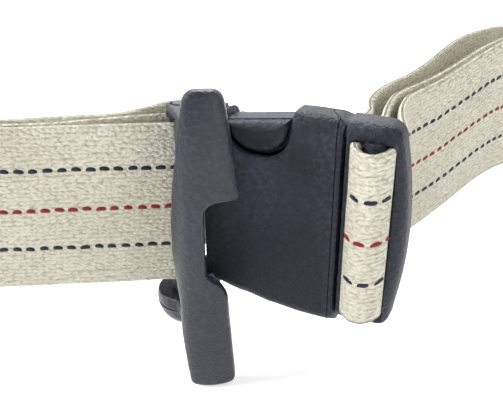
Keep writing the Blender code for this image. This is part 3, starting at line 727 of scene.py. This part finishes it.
def release_lever():
    """All of the lever in one moulding, its members run together by remeshing and smoothing."""
    members = [lever_arm("upper_arm", UPPER_EYE_RADIUS, *UPPER_ARM, (-4.0, 4.0)),
               lever_arm("lower_arm", 5.4, *LOWER_ARM, (-6.0, 2.0)),
               dome("hub", HUB_RADIUS, HUB_RADIUS, HUB_CENTRE_Z, LOWER_ARM[1], LOWER_ARM[0])]
    lever = join(bowed_handle(), members)
    lever.name = "lever"
    lever = with_modifier(lever, "REMESH", mode="VOXEL", voxel_size=0.42)
    lever = with_modifier(lever, "SMOOTH", factor=0.5, iterations=9)
    cuts = [rod("pin_hole", BAR_X, BAR_Y, PIN_RADIUS + CLEARANCE, 20, 36),
            rod("bar_hole", BAR_X, BAR_Y, BAR_RADIUS + CLEARANCE, -40, -20),
            rod("pocket", BAR_X, BAR_Y, POCKET_RADIUS, -40, -30.2)]
    lever = combine(lever, "DIFFERENCE", cuts)
    return finish(lever, "lever_plastic", "lever", ["release_lever"], 50.0)


def spring_cap():
    """Lower part of the hub, which covers the spring's pocket."""
    cap = dome("cap", HUB_RADIUS, HUB_RADIUS, HUB_CENTRE_Z, LOWER_ARM[0] - 0.12,
               HUB_CENTRE_Z - HUB_RADIUS + 0.05)
    return finish(cap, "lever_plastic", "lever", ["spring_cap"])


# ---------------------------------------------------------------- strap routes

class Arm:
    """Plan route of one arm of the belt: straight and curved legs from a start and heading."""

    def __init__(self, start, heading, legs):
        self.start = Vector(start)
        self.heading = heading
        self.legs = [(length, radians(turn)) for length, turn in legs]
        self.length = sum(length for length, _ in self.legs)

    def at(self, s):
        """Point and heading after a length s along the arm."""
        point, heading = self.start.copy(), self.heading
        for length, turn in self.legs:
            run = min(s, length)
            swing = turn * run / length
            chord = run if abs(swing) < 1e-6 else 2 * run / swing * sin(swing / 2)
            middle = heading + swing / 2
            point += Vector((cos(middle), sin(middle))) * chord
            heading += swing
            s -= run
            if s <= 0:
                break
        return point, heading

    def knot(self, s, offset, rise=0.0):
        """Knot (x, y, z) at length s, moved sideways by offset."""
        point, heading = self.at(s)
        place = point + Vector((-sin(heading), cos(heading))) * offset
        return place.x, place.y, rise


def half_turn(arm, low_offset, high_offset):
    """Knots of the turn at the arm's end, from one layer's offset to the other's."""
    point, heading = arm.at(arm.length)
    ahead = Vector((cos(heading), sin(heading)))
    side = Vector((-ahead.y, ahead.x))
    centre = point + side * (low_offset + high_offset) / 2
    radius = (high_offset - low_offset) / 2
    knots = []
    for k in range(1, 8):
        a = pi * k / 8
        place = centre - side * radius * cos(a) + ahead * abs(radius) * sin(a)
        knots.append((place.x, place.y, 0.0))
    return knots


def wrap(x, y, radius, start, end):
    """Knots of the strap where it turns round a bar."""
    steps = 12
    angles = [start + (end - start) * k / steps for k in range(steps + 1)]
    return [(x + radius * cos(a), y + radius * sin(a), 0.0) for a in angles]


def smooth(knots):
    """Samples of a Catmull-Rom curve through (x, y, z) knots."""
    knots = [Vector(k) for k in knots]
    knots = [k for i, k in enumerate(knots) if i == 0 or (k - knots[i - 1]).length > 0.2]
    samples = [knots[0]]
    for i in range(len(knots) - 1):
        p0, p1, p2 = knots[max(i - 1, 0)], knots[i], knots[i + 1]
        p3 = knots[min(i + 2, len(knots) - 1)]
        count = max(1, round((p2 - p1).length / PATH_STEP))
        for k in range(1, count + 1):
            t = k / count
            samples.append(0.5 * ((2 * p1) + (p2 - p0) * t
                                  + (2 * p0 - 5 * p1 + 4 * p2 - p3) * t ** 2
                                  + (3 * p1 - p0 - 3 * p2 + p3) * t ** 3))
    return samples


def lengths(start, end, step=8.0):
    """Even places along an arm, about one step apart, from start to end."""
    count = max(1, round(abs(end - start) / step))
    return [start + (end - start) * k / count for k in range(count + 1)]


def strap_routes():
    """Paths of the tail and left arm, the far side, the right arm with its fold, and the hem."""
    left_reach = BAR_RADIUS + CLEARANCE + STRAP_THICKNESS / 2
    leave = Vector((-sin(LEFT_HEADING), cos(LEFT_HEADING)))
    left = Arm(Vector((BAR_X, BAR_Y)) + leave * left_reach, LEFT_HEADING, LEFT_LEGS)
    right = Arm((INSERT_BAR_X + ROLL_REACH, INSERT_BAR_Y), pi / 2, RIGHT_LEGS)
    far = -(LAYER_PITCH + 2 * TURN_RADIUS)

    # Sideways offset from the arm's line at each length: rows of (length, offset)
    main_offset = ((0.0, -2 * left_reach), (42.0, -LAYER_PITCH))
    far_left = ((28.0, -8.4), (60.0, -2 * LAYER_PITCH), (left.length - 70.0, -2 * LAYER_PITCH),
                (left.length, far))
    fold_offset = ((0.0, 2 * ROLL_REACH), (8.0, 2 * ROLL_REACH), (34.0, 4.2), (85.0, LAYER_PITCH))
    far_right = ((28.0, 9.8), (60.0, 11.5), (100.0, 15.0), (140.0, 20.0),
                 (right.length, 2 * TURN_RADIUS))

    def right_knot(s, table):
        offset = profile(s, table) if table else 0.0
        return right.knot(s, offset, profile(s, RISE))

    def lifted(knots):
        return [(x, y, z + LEFT_LIFT) for x, y, z in knots]

    tail = [left.knot(s, 0) for s in lengths(TAIL_LENGTH, 0)]
    toward_bar = atan2(leave.y, leave.x)
    around = wrap(BAR_X, BAR_Y, left_reach, toward_bar, toward_bar + pi)
    out = [left.knot(s, profile(s, main_offset)) for s in lengths(0, left.length)]
    turn = half_turn(left, -LAYER_PITCH, far)
    back = [left.knot(s, profile(s, far_left)) for s in lengths(left.length, 60)]

    behind = lifted([left.knot(s, profile(s, far_left)) for s in lengths(60, 36)])
    behind += list(BEHIND_BUCKLE)
    behind += [right_knot(s, far_right) for s in lengths(28, right.length)]

    right_turn = list(reversed(half_turn(right, 0, 2 * TURN_RADIUS)))
    returning = [right_knot(s, None) for s in lengths(right.length, 3)]
    roll = [(INSERT_BAR_X + x, INSERT_BAR_Y + y, z) for x, y, z in ROLL]
    fold = [right_knot(s, fold_offset) for s in lengths(3, FOLD_LENGTH)]
    return {
        "left": smooth(lifted(tail + around + out + turn + back)),
        "far": smooth(behind),
        "right": smooth([right_knot(right.length, far_right)] + right_turn + returning + roll + fold),
        "hem": smooth(lifted(hem_knots(left))),
    }


def hem_knots(left):
    """The tail's end, folded back once over its front."""
    offset = STRAP_THICKNESS + 0.3
    fold_back = [left.knot(s, offset) for s in lengths(TAIL_LENGTH - HEM_LENGTH, TAIL_LENGTH, 4.0)]
    point, heading = left.at(TAIL_LENGTH)
    ahead = Vector((cos(heading), sin(heading)))
    side = Vector((-ahead.y, ahead.x))
    centre = point + side * offset / 2
    bend = []
    for k in range(1, 6):
        a = pi * k / 6
        place = centre + side * offset / 2 * cos(a) + ahead * offset / 2 * sin(a)
        bend.append((place.x, place.y, 0.0))
    return fold_back + bend + [left.knot(TAIL_LENGTH - 0.5, 0)]


# ---------------------------------------------------------------- strap surface

class Rail:
    """Frames along a strap's path: middle, direction, across the width, and out of the face."""

    def __init__(self, path):
        self.frames = []
        self.lengths = []
        run = 0.0
        for i, sample in enumerate(path):
            step = path[min(i + 1, len(path) - 1)] - path[max(i - 1, 0)]
            ahead = Vector((step.x, step.y, 0)).normalized()
            face = Vector((-ahead.y, ahead.x, 0))
            if i:
                run += (sample - path[i - 1]).length
            self.frames.append((sample, ahead, Vector((0, 0, 1)), face))
            self.lengths.append(run)
        self.length = run

    def at(self, s):
        """Frame at arc length s, between the two nearest samples."""
        low, high = 0, len(self.lengths) - 1
        while high - low > 1:
            middle = (low + high) // 2
            low, high = (middle, high) if self.lengths[middle] <= s else (low, middle)
        share = (s - self.lengths[low]) / max(1e-6, self.lengths[high] - self.lengths[low])
        a, b = self.frames[low], self.frames[high]
        return [p.lerp(q, share) for p, q in zip(a, b)]


def section():
    """Cross-section of the strap as (across, out) points: flat faces and rounded selvedges."""
    half, thick = STRAP_WIDTH / 2, STRAP_THICKNESS / 2
    flat = half - thick
    points = [(flat * (2 * k / 20 - 1), thick) for k in range(21)]
    turns = [pi * k / 5 for k in range(1, 5)]
    points += [(flat + thick * sin(a), thick * cos(a)) for a in turns]
    points += [(-c, -n) for c, n in points]
    return points


def relief(s, c):
    """Small unevenness of the cloth, out of its face."""
    place = Vector((s * 0.05, c * 0.09, 3.7))
    return 0.16 * noise.noise(place) + 0.05 * noise.noise(place * 7)


def strap_point(frame_at, s, c, n):
    """Point at s along, c across and n out of the strap, with its edges' wander and its relief."""
    middle, _, across, face = frame_at
    wander = 0.22 * noise.noise(Vector((s * 0.06, 11.0 if c > 0 else -7.0, 0.0))) * abs(c) / 25
    lift = relief(s, c)
    return middle + across * (c + wander) + face * (n + lift)


def add_strap(bm, rail, uv, start):
    """The strap's skin.  Its back face lies 70 mm off in the UV map, so the faces don't mirror."""
    shape = section()
    rows = []
    for frame_at, s in zip(rail.frames, rail.lengths):
        rows.append([bm.verts.new(strap_point(frame_at, s, c, n)) for c, n in shape])
    count = len(shape)
    for i, (low, high) in enumerate(zip(rows, rows[1:])):
        for j in range(count):
            k = (j + 1) % count
            face = bm.faces.new((low[j], low[k], high[k], high[j]))
            face.smooth = True
            ends = ((i, j), (i, k), (i + 1, k), (i + 1, j))
            for loop, (row, column) in zip(face.loops, ends):
                across = shape[column][0] + (70.0 if shape[column][1] < 0 else 0.0)
                if {j, k} == {0, count - 1} and column == 0:
                    across = shape[column][0] + 70.0
                loop[uv].uv = ((start + rail.lengths[row]) * MM, across * MM)
    bm.faces.new(list(reversed(rows[0])))
    bm.faces.new(rows[-1])


def add_dash(bm, rail, uv, s, c, side, material, rng):
    """One float of a stripe's yarn: a small arched bean that stands a little out of the weave."""
    half = DASH_LENGTH / 2 * rng.uniform(0.9, 1.08)
    s += rng.uniform(-0.15, 0.15)
    c += rng.uniform(-0.12, 0.12)
    tilt = rng.uniform(-0.10, 0.10)
    rows = []
    for t in (-1.0, -0.72, -0.25, 0.25, 0.72, 1.0):
        place = s + half * t
        frame_at = rail.at(min(max(place, 0.0), rail.length))
        wide = DASH_WIDTH / 2 * (1 - 0.45 * t ** 4)
        arch = 0.20 * (1 - t * t)
        row = []
        for q in (-1.0, -0.5, 0.5, 1.0):
            height = DASH_HEIGHT * (1 - 0.8 * abs(t) ** 3) * (1 - q ** 4) - 0.12
            across = c + arch + tilt * half * t + wide * q
            row.append((strap_point(frame_at, place, across, side * (STRAP_THICKNESS / 2 + height)),
                        (place * MM, across * MM)))
        rows.append(row)
    verts = [[bm.verts.new(point) for point, _ in row] for row in rows]
    for i in range(len(rows) - 1):
        for j in range(3):
            ring = ((i, j), (i, j + 1), (i + 1, j + 1), (i + 1, j))
            ring = ring if side > 0 else tuple(reversed(ring))
            face = bm.faces.new([verts[a][b] for a, b in ring])
            face.material_index = material
            face.smooth = True
            for loop, (a, b) in zip(face.loops, ring):
                loop[uv].uv = rows[a][b][1]


def webbing(name, path, start=0.0):
    """Strap along a path, with the floats of its three stripes on both faces."""
    rail = Rail(path)
    rng = random.Random(len(name) * 7 + 3)
    bm = bmesh.new()
    uv = bm.loops.layers.uv.new("strap")
    add_strap(bm, rail, uv, start)
    first = DASH_PITCH - start % DASH_PITCH
    for c, colour in STRIPES:
        material = 1 if colour == "navy" else 2
        shift = 0.45 * DASH_PITCH if colour == "red" else 0.0
        count = int((rail.length - DASH_LENGTH) / DASH_PITCH)
        for k in range(count):
            s = first + shift + k * DASH_PITCH
            if DASH_LENGTH / 2 < s < rail.length - DASH_LENGTH / 2:
                add_dash(bm, rail, uv, s, c, 1, material, rng)
                back = s + DASH_PITCH / 2
                if back < rail.length - DASH_LENGTH / 2:
                    add_dash(bm, rail, uv, back, c, -1, material, rng)
    obj = new_object(name, bm)
    obj.data.transform(TO_FRAME)
    for slot in ("cotton", "navy", "red"):
        obj.data.materials.append(MATERIALS[slot])
    return obj


def stitches(name, rail, rows, body, replaces):
    """Rows of sewing thread across the strap, on both faces."""
    bm = bmesh.new()
    for s in rows:
        middle, ahead, across, face = rail.at(s)
        for k in range(STITCH_COUNT):
            c = (k - (STITCH_COUNT - 1) / 2) * STITCH_PITCH
            for side in (1, -1):
                centre = middle + across * c + face * side * (STRAP_THICKNESS / 2 + 0.18)
                rings = []
                for t, r in STITCH_TAPER:
                    sink = 0.30 * t * t
                    point = centre + across * STITCH_HALF_LENGTH * t - face * side * sink
                    ring = [point + ahead * r * cos(a) + face * r * sin(a)
                            for a in (2 * pi * i / 8 for i in range(8))]
                    rings.append([bm.verts.new(p) for p in ring])
                for low, high in zip(rings, rings[1:]):
                    for i in range(8):
                        j = (i + 1) % 8
                        bm.faces.new((low[i], low[j], high[j], high[i]))
                bm.faces.new(rings[0])
                bm.faces.new(list(reversed(rings[-1])))
    bmesh.ops.recalc_face_normals(bm, faces=bm.faces)
    return finish(new_object(name, bm), "thread", body, replaces)


def make_strap():
    """The strap in three stretches, its hem and its stitching; all but the far stretch are put on a
    body.
    """
    routes = strap_routes()
    left = webbing("strap_left", routes["left"])
    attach(left, "receiver")
    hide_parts("webbing_tail", "webbing_lock_wrap", "webbing_left_loop")
    left_rail = Rail(routes["left"])

    far = webbing("strap_far_side", routes["far"], left_rail.length)
    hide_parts("webbing_back_run")
    low = TO_FRAME @ Vector((-8.0, 10.0, 0.0))
    high = TO_FRAME @ routes["far"][-1]
    high.z = low.z
    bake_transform(far)

    right = webbing("strap_right", routes["right"], 3.0)
    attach(right, "insert")
    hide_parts("webbing_right_loop", "webbing_bar_wrap", "webbing_fold_back")

    hem = webbing("tail_hem_fold", routes["hem"])
    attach(hem, "receiver")
    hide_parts("tail_hem")
    stitches("hem_stitching", left_rail, (5.0, 12.5), "receiver", ())
    end = Rail(routes["right"]).length
    stitches("fold_stitching_1", Rail(routes["right"]), (end - 4.5,), "insert", ["stitch_row_1"])
    stitches("fold_stitching_2", Rail(routes["right"]), (end - 40.0,), "insert", ["stitch_row_2"])


# ---------------------------------------------------------------- stage

def backdrop():
    """Pale floor that curves up behind the belt."""
    bm = bmesh.new()
    line = [(FLOOR_FRONT, 0.0), (WALL_CURVE_START, 0.0)]
    for k in range(1, 13):
        a = pi / 2 * k / 12
        line.append((WALL_CURVE_START + WALL_CURVE_RADIUS * sin(a), WALL_CURVE_RADIUS * (1 - cos(a))))
    line.append((WALL_CURVE_START + WALL_CURVE_RADIUS, WALL_TOP))
    sides = (-FLOOR_HALF_WIDTH, FLOOR_HALF_WIDTH)
    rows = [[bm.verts.new((x, y, z - FLOOR_DROP)) for x in sides] for y, z in line]
    for (a, b), (c, d) in zip(rows, rows[1:]):
        face = bm.faces.new((a, b, d, c))
        face.smooth = True
    floor = new_object("floor", bm)
    glow = Nodes("pale_floor").finish(Base_Color=(0.93, 0.93, 0.93, 1.0), Roughness=0.9,
                                      Emission_Color=(1.0, 1.0, 1.0, 1.0),
                                      Emission_Strength=FLOOR_GLOW)
    floor.data.materials.append(glow)


def area_light(name, place, size, power):
    """Round lamp that faces the buckle."""
    lamp = bpy.data.lights.new(name, "AREA")
    lamp.shape = "DISK"
    lamp.size = size
    lamp.energy = power
    obj = bpy.data.objects.new(name, lamp)
    obj.location = place
    obj.rotation_euler = (ORIGIN - place).to_track_quat("-Z", "Y").to_euler()
    bpy.context.scene.collection.objects.link(obj)


def studio():
    backdrop()
    for name, offset, size, power in LAMPS:
        area_light(name, ORIGIN + Vector(offset), size, power)
    world = bpy.data.worlds.new("studio")
    world.use_nodes = True
    background = world.node_tree.nodes["Background"]
    background.inputs["Color"].default_value = (1.0, 1.0, 1.0, 1.0)
    background.inputs["Strength"].default_value = WORLD_STRENGTH
    bpy.context.scene.world = world
    bpy.context.scene.view_settings.view_transform = "Standard"


def camera():
    lens = bpy.data.cameras.new("camera")
    lens.lens = CAMERA_LENS
    lens.sensor_width = 36.0
    lens.clip_start = 0.01
    view = bpy.data.objects.new("camera", lens)
    heading = Matrix.Rotation(radians(CAMERA_HEADING), 4, "Z")
    turn = heading @ Matrix.Rotation(radians(CAMERA_TILT), 4, "X")
    place = ORIGIN + Vector(CAMERA_PLACE) * MM
    view.matrix_world = Matrix.Translation(place) @ turn
    bpy.context.scene.collection.objects.link(view)
    bpy.context.scene.camera = view


def repaint(nodes, material):
    """CAD nodes whose shape is right keep it and get the finished material."""
    for name in nodes:
        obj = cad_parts[name]
        obj.data.materials.clear()
        obj.data.materials.append(MATERIALS[material])


receiver_housing()
insert_frame()
squeeze_prong()
release_lever()
spring_cap()
make_strap()
repaint(("lock_bar", "return_spring", "grip_jaw"), "steel")
studio()
camera()
